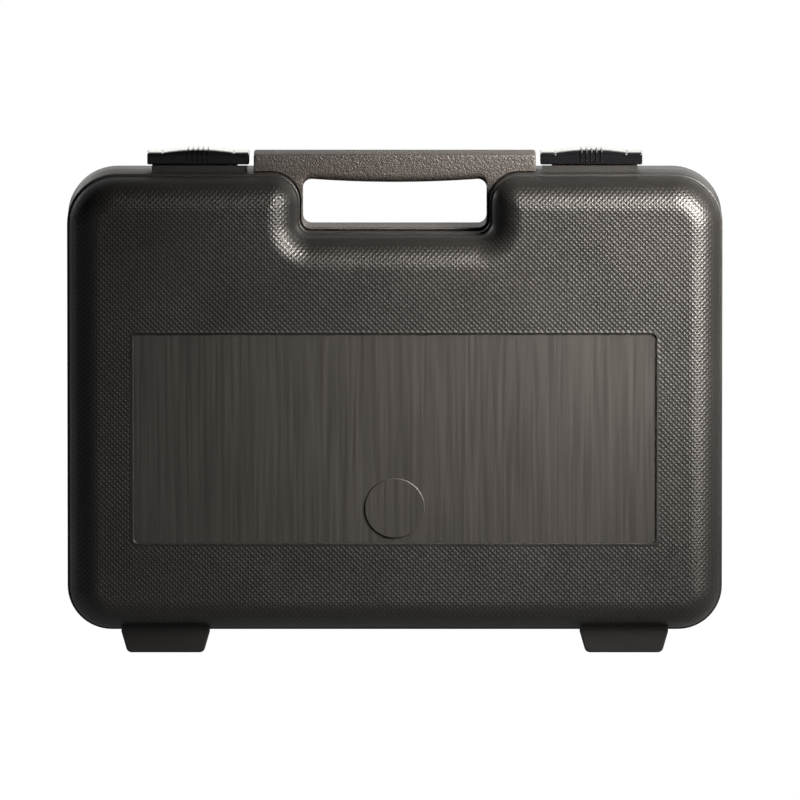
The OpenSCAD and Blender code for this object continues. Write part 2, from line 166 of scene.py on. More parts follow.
def spaced(loop, base, pitch):
    """The loop with points added on its edges, as many as its base form needs for the pitch."""
    counts = np.ceil(np.linalg.norm(np.roll(base, -1, 0) - base, axis=1) / pitch).astype(int)
    parts = [a + (b - a) * np.arange(max(k, 1))[:, None] / max(k, 1)
             for a, b, k in zip(loop, np.roll(loop, -1, 0), counts)]
    return np.concatenate(parts)


def offset(loop, inset):
    """An anticlockwise loop moved inwards by inset, one value or one for each point."""
    edge = np.roll(loop, -1, 0) - loop
    edge /= np.linalg.norm(edge, axis=1)[:, None]
    normal = np.stack([-edge[:, 1], edge[:, 0]], 1)
    before = np.roll(normal, 1, 0)
    mitre = (normal + before) / (1 + (normal * before).sum(1))[:, None]
    return loop + mitre * np.broadcast_to(np.asarray(inset, float), len(loop))[:, None]


def corners(s, inset):
    """Corner arcs of a half's outline, moved inwards by inset."""
    steps = 16

    def convex(x, z, dx, dz, r, start):
        left = max(r - inset, 1)
        return arc((x + dx * (inset + left), z + dz * (inset + left)), left, start, start + 90, steps)

    x, z = s.notch - s.notch_r, s.notch_low + s.notch_r
    return np.concatenate([
        convex(s.side, s.low, -1, 1, s.bottom_r, -90),
        convex(s.side, s.top, -1, -1, s.top_r, 0),
        convex(s.notch, s.top, 1, -1, s.shoulder_r, 90),
        arc((x, z), s.notch_r + inset, 0, -90, steps),
        arc((-x, z), s.notch_r + inset, -90, -180, steps),
        convex(-s.notch, s.top, -1, -1, s.shoulder_r, 0),
        convex(-s.side, s.top, 1, -1, s.top_r, 90),
        convex(-s.side, s.low, 1, 1, s.bottom_r, 180),
    ])


def outline(s, inset, pitch=2.8):
    """Outline of a half, moved inwards by inset, with points along its straight edges."""
    return spaced(corners(s, inset), corners(s, 0), pitch)


def rounded(w, h, r, centre, grow=0, steps=6, pitch=2.8):
    """Rounded rectangle, grown by grow."""
    def at(grow):
        x, z, q = w / 2 - r, h / 2 - r, r + grow
        return np.concatenate([arc((x, -z), q, -90, 0, steps), arc((x, z), q, 0, 90, steps),
                               arc((-x, z), q, 90, 180, steps), arc((-x, -z), q, 180, 270, steps)])
    return np.asarray(centre, float) + spaced(at(grow), at(0), pitch)


def inset_of(s, x, z):
    """Distance of points from a half's outline, positive inside it."""
    x = np.abs(x)
    upper = z > (s.top + s.low) / 2
    r = np.where(upper, s.top_r, s.bottom_r)
    side, end = s.side - x, np.where(upper, s.top - z, z - s.low)
    box = np.where((side < r) & (end < r), r - np.hypot(r - side, r - end), np.minimum(side, end))
    low, high = s.notch_low + s.notch_r, s.top - s.shoulder_r
    inner, outer = s.notch - s.notch_r, s.notch + s.shoulder_r
    below = np.where(x <= inner, s.notch_low - z, np.hypot(x - inner, z - low) - s.notch_r)
    beside = np.where((z > high) & (x < outer),
                      s.shoulder_r - np.hypot(x - outer, z - high), x - s.notch)
    return np.minimum(box, np.where(z <= low, below, beside))


def outside_of(w, h, r, centre, x, z):
    """Distance of points outside a rounded rectangle."""
    a, b = np.abs(x - centre[0]) - w / 2 + r, np.abs(z - centre[1]) - h / 2 + r
    return np.hypot(np.maximum(a, 0), np.maximum(b, 0)) + np.minimum(np.maximum(a, b), 0) - r


def dome(s, inset):
    """Depth of the dome's surface, from the parting plane, at an inset from the outline."""
    rise = np.clip(1 - (inset - s.ledge) / s.blend, 0, 1)
    return np.where(inset < s.ledge, s.rim, s.rim + (s.face - s.rim) * np.sqrt(1 - rise * rise))


def smooth(t):
    """Smooth step from 0 to 1."""
    t = np.clip(t, 0, 1)
    return t * t * (3 - 2 * t)


def round_over(r):
    """Inset and drop of the loops of a rounded edge of radius r, one value or one for each point."""
    return [(r * (1 - math.sin(a)), r * (1 - math.cos(a))) for a in np.radians(np.linspace(0, 90, 6))]


def within(loop, points):
    """Whether each point lies in a closed loop."""
    a, b = loop, np.roll(loop, -1, 0)
    x, z = points[:, :1], points[:, 1:]
    spans = (a[:, 1] > z) != (b[:, 1] > z)
    rise = np.where(b[:, 1] == a[:, 1], 1, b[:, 1] - a[:, 1])
    return (spans & (x < a[:, 0] + (b[:, 0] - a[:, 0]) * (z - a[:, 1]) / rise)).sum(1) % 2 == 1


# --- meshes ---------------------------------------------------------------------------


class Skin:
    """Points, in millimetres, and faces of one piece, gathered loop by loop."""

    def __init__(self):
        self.points, self.faces, self.slots = [], [], []

    def add(self, points):
        """Adds points and returns their numbers."""
        first = len(self.points)
        self.points.extend(np.asarray(points, float).tolist())
        return np.arange(first, len(self.points))

    def face(self, faces, slot=0):
        """Adds faces, given as lists of point numbers."""
        self.faces.extend(faces)
        self.slots.extend([slot] * len(faces))

    def loft(self, loops, slot=0, closed=False):
        """Joins closed loops of as many points each, and the last to the first if closed."""
        ids = [self.add(loop) for loop in loops]
        for a, b in zip(ids, ids[1:] + (ids[:1] if closed else [])):
            self.face(np.stack([a, np.roll(a, -1), np.roll(b, -1), b], 1).tolist(), slot)
        return ids

    def fill(self, outer, holes=(), inner=(), creases=(), slot=0):
        """Triangles between a loop and its holes, through the inner points and along the creases."""
        loops = [outer, *holes]
        ids = np.concatenate([*loops, np.asarray(inner, int)]).astype(int)
        local = np.full(len(self.points), -1)
        local[ids] = np.arange(len(ids))
        flat = np.array(self.points)[ids][:, [0, 2]]
        edges = [(local[a], local[b]) for loop in loops for a, b in zip(loop, np.roll(loop, -1))]
        edges += [(local[a], local[b]) for a, b in creases]
        _, _, faces, source, _, _ = delaunay_2d_cdt(
            [Vector(p) for p in flat.tolist()], [(int(a), int(b)) for a, b in edges],
            [], 1, 1e-5, True)
        if any(not s for s in source):
            raise RuntimeError("a crease or loop crosses another")
        at = np.array([s[0] for s in source])
        faces = at[np.array(faces)]
        middle = flat[faces].mean(1)
        keep = within(flat[local[outer]], middle)
        for hole in holes:
            keep &= ~within(flat[local[hole]], middle)
        self.face(ids[faces[keep]].tolist(), slot)

    def block(self, a, b, bevel=0.0):
        """Box between two corners with rounded edges."""
        a, b = np.minimum(a, b), np.maximum(a, b)
        mesh = bmesh.new()
        bmesh.ops.create_cube(mesh, size=1)
        for v in mesh.verts:
            v.co = a + (np.array(v.co) + 0.5) * (b - a)
        if bevel:
            bmesh.ops.bevel(mesh, geom=mesh.edges[:], offset=bevel, segments=2, profile=0.5,
                            affect="EDGES")
        mesh.verts.index_update()
        ids = self.add([v.co for v in mesh.verts])
        self.face([[int(ids[v.index]) for v in f.verts] for f in mesh.faces])
        mesh.free()

    def tube(self, x, r, centre, bore=0.0):
        """Turned cylinder along x, plain, or bored and with its ends chamfered if bore is given."""
        steps, edge = 56, 0.35

        def ring(x, r):
            p = arc(centre, r, 0, 360 * (1 - 1 / steps), steps - 1)
            return np.stack([np.full(len(p), x), p[:, 0], p[:, 1]], 1)

        if bore:
            path = [(x[0], bore), (x[0], r - edge), (x[0] + edge, r),
                    (x[1] - edge, r), (x[1], r - edge), (x[1], bore)]
            self.loft([ring(*k) for k in path], closed=True)
        else:
            ids = self.loft([ring(x[0], r), ring(x[1], r)])
            self.face([ids[0].tolist(), ids[1].tolist()[::-1]])

    def make(self, name, materials, sharp=18):
        """The piece as a Blender object, in metres."""
        mesh = bpy.data.meshes.new(name)
        mesh.from_pydata((np.array(self.points) / 1000).tolist(), [], self.faces)
        mesh.polygons.foreach_set("material_index", self.slots)
        work = bmesh.new()
        work.from_mesh(mesh)
        bmesh.ops.recalc_face_normals(work, faces=work.faces)
        work.to_mesh(mesh)
        work.free()
        return place(name, mesh, materials, sharp)


def stand(name, data):
    """An object in the scene for a mesh, lamp or camera."""
    thing = bpy.data.objects.new(name, data)
    bpy.context.scene.collection.objects.link(thing)
    return thing


def place(name, mesh, materials, sharp):
    """An object for a mesh, smooth but for its edges that are sharper than an angle in degrees."""
    mesh.shade_smooth()
    mesh.set_sharp_from_angle(angle=math.radians(sharp))
    for material in materials:
        mesh.materials.append(material)
    return stand(name, mesh)


def join(name, pieces, cutters, materials, sharp):
    """One object of several, after each cutter is taken away from the first."""
    first = pieces[0]
    for cutter in cutters:
        cut = first.modifiers.new("cut", "BOOLEAN")
        cut.operation, cut.solver, cut.object = "DIFFERENCE", "EXACT", cutter
    graph = bpy.context.evaluated_depsgraph_get()
    work = bmesh.new()
    for piece in pieces:
        mesh = bpy.data.meshes.new_from_object(piece.evaluated_get(graph), depsgraph=graph)
        work.from_mesh(mesh)
    mesh = bpy.data.meshes.new(name)
    work.to_mesh(mesh)
    work.free()
    for piece in [*pieces, *cutters]:
        bpy.data.objects.remove(piece)
    return place(name, mesh, materials, sharp)


def settle(piece, body, slot, *nodes):
    """Makes a piece ride on its body and stand for its CAD nodes, which it hides; its slot is not used.
    """
    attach(piece, body)
    if nodes:
        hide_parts(*nodes)
    return piece


# --- materials ------------------------------------------------------------------------


def add(tree, kind, settings=None, sockets=None):
    """Adds a node to a tree, with its settings, and the values or links of its sockets."""
    node = tree.nodes.new(kind)
    for name, value in (settings or {}).items():
        setattr(node, name, value)
    for name, value in (sockets or {}).items():
        if isinstance(value, bpy.types.NodeSocket):
            tree.links.new(value, node.inputs[name])
        else:
            node.inputs[name].default_value = value
    return node


def new_material(name):
    """A new material without nodes, and its node tree."""
    material = bpy.data.materials.new(name)
    material.use_nodes = True
    material.node_tree.nodes.clear()
    return material, material.node_tree


def shaded(tint, k):
    """A colour made k times as light."""
    return [c * k for c in tint[:3]] + [1]


def close(tree, shader):
    """Links a shader to a tree's output."""
    add(tree, "ShaderNodeOutputMaterial", sockets={"Surface": shader.outputs[0]})


def polyethylene_blow_moulded(tint, streaks=False):
    """Blow-moulded black polyethylene. Its satin skin gives broad soft glints on the diamonds, and the
    slow cooling leaves the gloss a little uneven. With streaks it is the smooth sunk panel, whose die
    was wiped up and down, so that the light breaks into faint upright lines; there the colour also has
    painted sheen, lighter and darker along the lines, and its tint is painted lighter than the shell's."""
    material, tree = new_material("polyethylene_blow_moulded" + ("_panel" if streaks else ""))
    at = add(tree, "ShaderNodeTexCoord").outputs["Object"]
    # clouds 40 mm across in the colour, and in the gloss where no lines are
    cloud = add(tree, "ShaderNodeTexNoise", sockets={"Vector": at, "Scale": 25.0, "Detail": 3.0})
    base = add(tree, "ShaderNodeMixRGB", sockets={
        "Fac": cloud.outputs["Fac"], "Color1": shaded(tint, 0.88), "Color2": shaded(tint, 1.12)})
    # skin texture 0.7 mm wide and at most 0.05 mm high, drawn coarser than the real one
    skin = add(tree, "ShaderNodeTexNoise", sockets={"Vector": at, "Scale": 1400.0, "Detail": 4.0})
    if streaks:
        # die lines 1.5 mm apart across and 60 mm long
        lines = add(tree, "ShaderNodeVectorMath", {"operation": "MULTIPLY"},
                    {0: at, 1: (650.0, 650.0, 16.0)})
        drawn = add(tree, "ShaderNodeTexNoise", sockets={
            "Vector": lines.outputs[0], "Scale": 1.0, "Detail": 3.0})
        rough = add(tree, "ShaderNodeMapRange", sockets={
            "Value": drawn.outputs["Fac"], "From Min": 0.3, "From Max": 0.7,
            "To Min": 0.42, "To Max": 0.56})
        # painted sheen: the colour is made lighter and darker along the die lines
        shade = add(tree, "ShaderNodeMapRange", sockets={
            "Value": drawn.outputs["Fac"], "From Min": 0.35, "From Max": 0.65,
            "To Min": 0.88, "To Max": 1.12})
        base = add(tree, "ShaderNodeVectorMath", {"operation": "SCALE"},
                   {0: base.outputs[0], "Scale": shade.outputs[0]})
        height = add(tree, "ShaderNodeMath", {"operation": "MULTIPLY_ADD"},
                     {0: drawn.outputs["Fac"], 1: 2.0, 2: skin.outputs["Fac"]})
        strength = 0.6
    else:
        rough = add(tree, "ShaderNodeMapRange", sockets={
            "Value": cloud.outputs["Fac"], "From Min": 0.3, "From Max": 0.7,
            "To Min": 0.4, "To Max": 0.47})
        height, strength = skin, 0.25
    bump = add(tree, "ShaderNodeBump", sockets={
        "Height": height.outputs[0], "Strength": strength, "Distance": 0.00005})
    close(tree, add(tree, "ShaderNodeBsdfPrincipled", sockets={
        "Base Color": base.outputs[0], "Roughness": rough.outputs[0], "IOR": 1.54,
        "Normal": bump.outputs[0]}))
    return material


def polypropylene_pebbled(tint):
    """Injection-moulded polypropylene from an etched mould. Its pebbles scatter the light into fine
    bright grains on the front and keep the top of the grip matt."""
    material, tree = new_material("polypropylene_pebbled")
    at = add(tree, "ShaderNodeTexCoord").outputs["Object"]
    # pebbles 1 mm wide and about 0.2 mm high, with an unevenness 1.4 mm wide
    cells = add(tree, "ShaderNodeTexVoronoi", {"feature": "SMOOTH_F1"},
                {"Vector": at, "Scale": 1000.0, "Smoothness": 0.4})
    fine = add(tree, "ShaderNodeTexNoise", sockets={"Vector": at, "Scale": 700.0, "Detail": 4.0})
    height = add(tree, "ShaderNodeMath", {"operation": "SUBTRACT"},
                 {0: fine.outputs["Fac"], 1: cells.outputs["Distance"]})
    bump = add(tree, "ShaderNodeBump", sockets={
        "Height": height.outputs[0], "Strength": 0.7, "Distance": 0.00034})
    rough = add(tree, "ShaderNodeMapRange", sockets={
        "Value": fine.outputs["Fac"], "From Min": 0.3, "From Max": 0.7,
        "To Min": 0.42, "To Max": 0.56})
    base = add(tree, "ShaderNodeMixRGB", sockets={
        "Fac": fine.outputs["Fac"], "Color1": shaded(tint, 0.85), "Color2": shaded(tint, 1.15)})
    close(tree, add(tree, "ShaderNodeBsdfPrincipled", sockets={
        "Base Color": base.outputs[0], "Roughness": rough.outputs[0], "IOR": 1.49,
        "Normal": bump.outputs[0]}))
    return material


def acetal_polished(tint):
    """Polished moulded acetal. It mirrors the studio in hard white lines, a little dulled where
    fingers rub it."""
    material, tree = new_material("acetal_polished")
    at = add(tree, "ShaderNodeTexCoord").outputs["Object"]
    # rubbed patches 6 mm across and hairlines 0.3 mm wide along the slide
    patches = add(tree, "ShaderNodeTexNoise", sockets={"Vector": at, "Scale": 160.0, "Detail": 2.0})
    along = add(tree, "ShaderNodeVectorMath", {"operation": "MULTIPLY"},
                {0: at, 1: (60.0, 3000.0, 3000.0)})
    hairs = add(tree, "ShaderNodeTexNoise", sockets={
        "Vector": along.outputs[0], "Scale": 1.0, "Detail": 2.0})
    both = add(tree, "ShaderNodeMath", {"operation": "MULTIPLY"},
               {0: patches.outputs["Fac"], 1: hairs.outputs["Fac"]})
    rough = add(tree, "ShaderNodeMapRange", sockets={
        "Value": both.outputs[0], "From Min": 0.1, "From Max": 0.45, "To Min": 0.1, "To Max": 0.2})
    bump = add(tree, "ShaderNodeBump", sockets={
        "Height": hairs.outputs["Fac"], "Strength": 0.08, "Distance": 0.00002})
    close(tree, add(tree, "ShaderNodeBsdfPrincipled", sockets={
        "Base Color": tint, "Roughness": rough.outputs[0], "IOR": 1.48,
        "Normal": bump.outputs[0]}))
    return material


def steel_drawn(tint):
    """Drawn steel wire, cut to length. Lines along the pin stretch its highlights round it."""
    material, tree = new_material("steel_drawn")
    at = add(tree, "ShaderNodeTexCoord").outputs["Object"]
    # drawing lines 0.25 mm wide and 12 mm long
    along = add(tree, "ShaderNodeVectorMath", {"operation": "MULTIPLY"},
                {0: at, 1: (80.0, 4000.0, 4000.0)})
    lines = add(tree, "ShaderNodeTexNoise", sockets={
        "Vector": along.outputs[0], "Scale": 1.0, "Detail": 3.0})
    rough = add(tree, "ShaderNodeMapRange", sockets={
        "Value": lines.outputs["Fac"], "From Min": 0.3, "From Max": 0.7,
        "To Min": 0.22, "To Max": 0.4})
    bump = add(tree, "ShaderNodeBump", sockets={
        "Height": lines.outputs["Fac"], "Strength": 0.2, "Distance": 0.00002})
    close(tree, add(tree, "ShaderNodeBsdfPrincipled", sockets={
        "Base Color": tint, "Metallic": 1.0, "Roughness": rough.outputs[0],
        "Normal": bump.outputs[0]}))
    return material


def polyurethane_foam(tint):
    """Open-cell polyurethane foam, cut with a hot wire and a die. Its pores swallow the light, so that
    it is matt;
    its speckle is painted shade, darker in the hollows of the pores and paler on the cell edges."""
    material, tree = new_material("polyurethane_foam")
    at = add(tree, "ShaderNodeTexCoord").outputs["Object"]
    # pores 1 mm wide and soft lumps 12 mm wide
    pores = add(tree, "ShaderNodeTexVoronoi", {"feature": "F1"}, {"Vector": at, "Scale": 900.0})
    lumps = add(tree, "ShaderNodeTexNoise", sockets={"Vector": at, "Scale": 80.0, "Detail": 3.0})
    # painted shade: the colour is darker in the hollows of the pores and paler on the cell edges
    pore_painted_shade = add(tree, "ShaderNodeMapRange", sockets={
        "Value": pores.outputs["Distance"], "From Min": 0.1, "From Max": 0.7,
        "To Min": 0.0, "To Max": 1.0})
    edges = add(tree, "ShaderNodeMixRGB", sockets={
        "Fac": pore_painted_shade.outputs[0], "Color1": shaded(tint, 0.45), "Color2": shaded(tint, 1.35)})
    height = add(tree, "ShaderNodeMath", {"operation": "MULTIPLY_ADD"},
                 {0: pores.outputs["Distance"], 1: 0.5, 2: lumps.outputs["Fac"]})
    bump = add(tree, "ShaderNodeBump", sockets={
        "Height": height.outputs[0], "Strength": 0.7, "Distance": 0.0006})
    close(tree, add(tree, "ShaderNodeBsdfPrincipled", sockets={
        "Base Color": edges.outputs[0], "Roughness": 0.95, "IOR": 1.45, "Specular IOR Level": 0.2,
        "Normal": bump.outputs[0]}))
    return material


def paper_sweep(tint):
    """Matt studio paper. The camera sees it evenly white, so bright that no shadow shows on it, and
    mirrors see it dimmer. What light it gives the object comes from its grey tint."""
    material, tree = new_material("paper_sweep")
    path = add(tree, "ShaderNodeLightPath").outputs
    seen = add(tree, "ShaderNodeMath", {"operation": "MULTIPLY_ADD", "use_clamp": True},
               {0: path["Is Glossy Ray"], 1: 0.15, 2: path["Is Camera Ray"]})
    seen = add(tree, "ShaderNodeMath", {"operation": "ADD", "use_clamp": True},
               {0: seen.outputs[0], 1: path["Is Transmission Ray"]})
    at = add(tree, "ShaderNodeTexCoord").outputs["Object"]
    # paper fibre 2 mm wide
    fibre = add(tree, "ShaderNodeTexNoise", sockets={"Vector": at, "Scale": 500.0, "Detail": 3.0})
    bump = add(tree, "ShaderNodeBump", sockets={
        "Height": fibre.outputs["Fac"], "Strength": 0.1, "Distance": 0.0001})
    paper = add(tree, "ShaderNodeBsdfDiffuse", sockets={"Color": tint, "Normal": bump.outputs[0]})
    glow = add(tree, "ShaderNodeEmission", sockets={"Color": (1, 1, 1, 1), "Strength": 1.43})
    both = add(tree, "ShaderNodeMath", {"operation": "MULTIPLY"}, {0: seen.outputs[0], 1: 0.7})
    close(tree, add(tree, "ShaderNodeMixShader", sockets={
        0: both.outputs[0], 1: paper.outputs[0], 2: glow.outputs[0]}))
    return material


MAKERS = {
    "shell": polyethylene_blow_moulded,
    "panel": lambda tint: polyethylene_blow_moulded(tint, streaks=True),
    "grip": polypropylene_pebbled,
    "latch": acetal_polished,
    "pin": steel_drawn,
    "foam": polyurethane_foam,
    "floor": paper_sweep,
}
made = {}


def finish_of(part):
    """The material of a part, made once with its colour from the sidebar."""
    if part not in made:
        made[part] = MAKERS[part](list(getattr(bpy.context.scene.case_colours, part)))
    return made[part]


# --- moulded halves ---------------------------------------------------------------------

GRAIN_SHARP = 12  # degrees, so that the low diamonds keep their sharp edges


def level(loop, y):
    """A loop of the x-z plane as points at depth y, one value or one for each point."""
    return np.stack([loop[:, 0], np.broadcast_to(np.asarray(y, float), len(loop)), loop[:, 1]], 1)


def grain(s, skin, side, start, panel):
    """Points of the diamond grain on a half's dome, and the creases between its diamonds. It fades in
    from the edge of the dome and stops before the panel."""
    edge_room, panel_room = 0.8, 1.1
    edge_fade, edge_ramp, panel_fade, panel_ramp = 2.5, 4.5, 0.4, 0.7
    across = int(s.side / s.pitch)
    i, j = np.meshgrid(np.arange(-across, across + 1),
                       np.arange(int(s.low / s.pitch), int(s.top / s.pitch)), indexing="ij")
    x, z = i * s.pitch, j * s.pitch
    inset = inset_of(s, x, z)
    away = outside_of(*panel, x, z) if panel else np.full(x.shape, np.inf)
    kept = (inset > start + edge_room) & (away > panel_room)
    valley = (i + j) % 2 == 0
    # the valleys lie grain_h under the dome, along its normal
    e = 0.05
    slope_x = (dome(s, inset_of(s, x + e, z)) - dome(s, inset_of(s, x - e, z))) / (2 * e)
    slope_z = (dome(s, inset_of(s, x, z + e)) - dome(s, inset_of(s, x, z - e))) / (2 * e)
    drop = (s.grain_h * valley * smooth((inset - edge_fade) / edge_ramp)
            * smooth((away - panel_fade) / panel_ramp))
    drop = drop / np.sqrt(1 + slope_x ** 2 + slope_z ** 2)
    points = np.stack([x + drop * slope_x, side * (dome(s, inset) - drop), z + drop * slope_z], -1)
    number = np.full(x.shape, -1)
    number[kept] = skin.add(points[kept])
    creases = []
    for a, b, low in ((number[:-1, :-1], number[1:, 1:], valley[:-1, :-1]),
                      (number[:-1, 1:], number[1:, :-1], valley[:-1, 1:])):
        both = low & (a >= 0) & (b >= 0)
        creases.append(np.stack([a[both], b[both]], 1))
    return number[kept], creases


def half(s, side, joint, panel):
    """Skin of one half, from its cavity over the parting face, with its tongue or groove, and the rim
    to the grained dome. Each loop is given by its inset and its depth from the parting plane."""
    skin = Skin()
    inside = [(s.wall, s.cavity), (s.wall, 0.6), (s.wall - 0.4, s.gap)]
    edge = [(0.35, s.gap), (0.1, 0.3), (0, 0.55), (0, s.rim - 0.5), (0.04, s.rim - 0.31),
            (0.15, s.rim - 0.15), (0.31, s.rim - 0.04), (0.5, s.rim), (s.ledge - 0.15, s.rim)]
    rings = [(s.ledge + s.blend * (1 - math.cos(a)), s.rim + (s.face - s.rim) * math.sin(a))
             for a in np.radians([0, 5, 10, 15, 20, 25])]
    ids = skin.loft([level(outline(s, inset), side * depth)
                     for inset, depth in [*inside, *joint, *edge, *rings]])
    skin.fill(ids[0])
    inner, creases = grain(s, skin, side, rings[-1][0], panel)
    holes = []
    if panel:
        w, h, r, centre = panel
        lip = [(0.5, 0), (0.3, 0.0), (0.12, 0.08), (0, 0.3), (0, s.panel_sink - 0.2),
               (-0.2, s.panel_sink)]
        rim = skin.loft([level(rounded(w, h, r, centre, grow), side * (s.face - sink))
                         for grow, sink in lip])
        holes = [rim[0]]
        low = s.face - s.panel_sink
        disc = skin.loft([level(arc((0, s.disc_z), q, 0, 355, 71), side * (low + up)) for q, up in (
            (s.disc_r + 0.2, 0), (s.disc_r, 0.2), (s.disc_r, s.disc_t - 0.25),
            (s.disc_r - 0.08, s.disc_t - 0.08), (s.disc_r - 0.3, s.disc_t))], slot=1)
        skin.fill(rim[-1], [disc[0]], slot=1)
        skin.fill(disc[-1], slot=1)
    skin.fill(ids[-1], holes, inner, np.concatenate(creases))
    return skin


def panel_of(s):
    """Width, height, corner radius and centre of the sunk panel."""
    return (s.width - 2 * s.panel_side, s.panel_top - s.panel_low, s.panel_r,
            (0, (s.panel_top + s.panel_low) / 2))


class CASE_OT_lid(bpy.types.Operator):
    """Build the lid's moulded half with its groove, grained dome and sunk panel"""
    bl_idname = "case.lid"
    bl_label = "Lid Moulding"

    def execute(self, context):
        s = sizes()
        groove = [(6.2, s.gap), (6, 0.4), (6, 2.2), (5.8, 2.4),
                  (3.4, 2.4), (3.2, 2.2), (3.2, 0.4), (3, s.gap)]
        skin = half(s, -1, groove, panel_of(s))
        piece = skin.make("lid_moulding", [finish_of("shell"), finish_of("panel")], GRAIN_SHARP)
        settle(piece, "lid", "shell_plastic", "lid_shell")
        return {"FINISHED"}


class CASE_OT_base(bpy.types.Operator):
    """Build the base's moulded half with its tongue, grained dome and the rails of the latches"""
    bl_idname = "case.base"
    bl_label = "Base Moulding"

    def execute(self, context):
        s = sizes()
        tongue = [(5.7, s.gap), (5.6, 0.1), (5.6, -1.7), (5.3, -2),
                  (3.9, -2), (3.6, -1.7), (3.6, 0.1), (3.5, s.gap)]
        skin = half(s, 1, tongue, None)
        web, head, head_z, head_t = 1, 2.4, s.slide_z + 1.5, 1.6
        for side in (-1, 1):
            near, far = side * (s.latch_x - 15), side * (s.latch_x + 24)
            skin.block((near, s.rail_y - web, s.top - 1), (far, s.rail_y + web, head_z + 0.3), 0.15)
            skin.block((near, s.rail_y - head, head_z), (far, s.rail_y + head, head_z + head_t), 0.2)
        piece = skin.make("base_moulding", [finish_of("shell")], GRAIN_SHARP)
        settle(piece, "base", "shell_plastic", "base_shell")
        return {"FINISHED"}


# --- feet and hinge ------------------------------------------------------------------


def foot(s, side, x, clear, knuckles):
    """One foot with its knuckles: lofted from its rounded front to the leaning heel, and cleared for
    the knuckles of the other half. Its ends taper towards the floor."""
    taper, rise, r, w = 3.2, 11, 3, s.foot_w / 2
    front_r, heel_angle, knuckle_room, pin_room = 1.2, 53, 0.4, 0.05
    lean = taper / rise
    c = w - taper - r * (math.sqrt(1 + lean * lean) - lean)
    tilt = math.degrees(math.atan(lean))
    crease = w - taper + lean * s.hinge_z
    right = [*arc((c, r), r, 270, 360 - tilt, 8), (crease, s.hinge_z), (w, s.low), (w, s.low + s.wall)]
    left = [(-x, z) for x, z in right[::-1]]
    loop = np.array(right + left)
    fold = [len(right) - 3, len(right) + 2]
    # the heel slopes away from the other foot under the hinge, as far as the opening lid needs
    reach = s.hinge_z * math.tan(math.radians(heel_angle))
    heel = np.where(loop[:, 1] < s.hinge_z, reach * (1 - loop[:, 1] / s.hinge_z), s.gap)
    skin = Skin()
    loops = [level(offset(loop, inset), s.foot_d - drop) for inset, drop in round_over(front_r)]
    ids = skin.loft([*loops, level(loop, heel)])
    skin.fill(ids[0])
    skin.fill(ids[-1], creases=[(ids[-1][fold[0]], ids[-1][fold[1]])])
    skin.points = [[px + x, side * py, pz] for px, py, pz in skin.points]
    solid = skin.make("foot", [finish_of("shell")])
    cutters = []
    for a, b in clear:
        tool = Skin()
        tool.tube((x + a, x + b), s.knuckle_r + knuckle_room, (0, s.hinge_z))
        cutters.append(tool.make("clearance", []))
    rolls = Skin()
    for a, b in knuckles:
        rolls.tube((x + a, x + b), s.knuckle_r, (0, s.hinge_z), bore=s.pin_r + pin_room)
    return join("foot", [solid, rolls.make("knuckles", [finish_of("shell")])], cutters,
                [finish_of("shell")], 30)


class CASE_OT_feet(bpy.types.Operator):
    """Build the feet of both halves with their hinge knuckles"""
    bl_idname = "case.feet"
    bl_label = "Feet and Knuckles"

    def execute(self, context):
        s = sizes()
        middle, play = 9.5, 0.3
        outer, end = middle + play, s.foot_w / 2 - 3.6
        plans = {"lid": (-1, [(-s.foot_w, -middle), (middle, s.foot_w)], [(-middle, middle)]),
                 "base": (1, [(-outer, outer)], [(-end, -outer), (outer, end)])}
        for body, (side, clear, knuckles) in plans.items():
            for name, x in (("left", -s.foot_x), ("right", s.foot_x)):
                piece = foot(s, side, x, clear, knuckles)
                piece.name = f"{body}_foot_{name}"
                settle(piece, body, "shell_plastic", f"{body}_shell")
        return {"FINISHED"}


# --- grip ring ------------------------------------------------------------------------

SEAT_R = 0.6  # radius of the grip's lower edges


def grip_outline(s, play):
    """Outer outline of the grip ring, which fits in the notch and lies on the top edge beside it."""
    half_w, top_r = s.grip_w / 2, 1.5
    right = np.concatenate([
        arc((s.notch - s.notch_r, s.notch_low + s.notch_r), s.notch_r - play, 270, 360, 8),
        arc((s.notch + s.shoulder_r, s.top - s.shoulder_r), s.shoulder_r + play, 180, 90, 16),
        arc((half_w - SEAT_R, s.top + play + SEAT_R), SEAT_R, 270, 360, 3),
        arc((half_w - top_r, s.grip_top - top_r), top_r, 0, 90, 6)])
    return np.concatenate([right, right[::-1] * (-1, 1)])


def finger_opening(s, lift):
    """Finger opening of the grip ring, with its bowed top raised by lift."""
    r, bow, bar = 4.6, 1.6, 1.6
    x, low = s.notch - bar - r, s.notch_low + bar + r
    high = s.grip_top - s.grip_h + bow - r + lift
    t = np.linspace(1, -1, 25)[1:-1]
    return np.concatenate([
        arc((-x, low), r, 180, 270, 8), arc((x, low), r, 270, 360, 8), arc((x, high), r, 0, 90, 8),
        np.stack([x * t, high + r - bow * (1 - t * t)], 1), arc((-x, high), r, 90, 180, 8)])


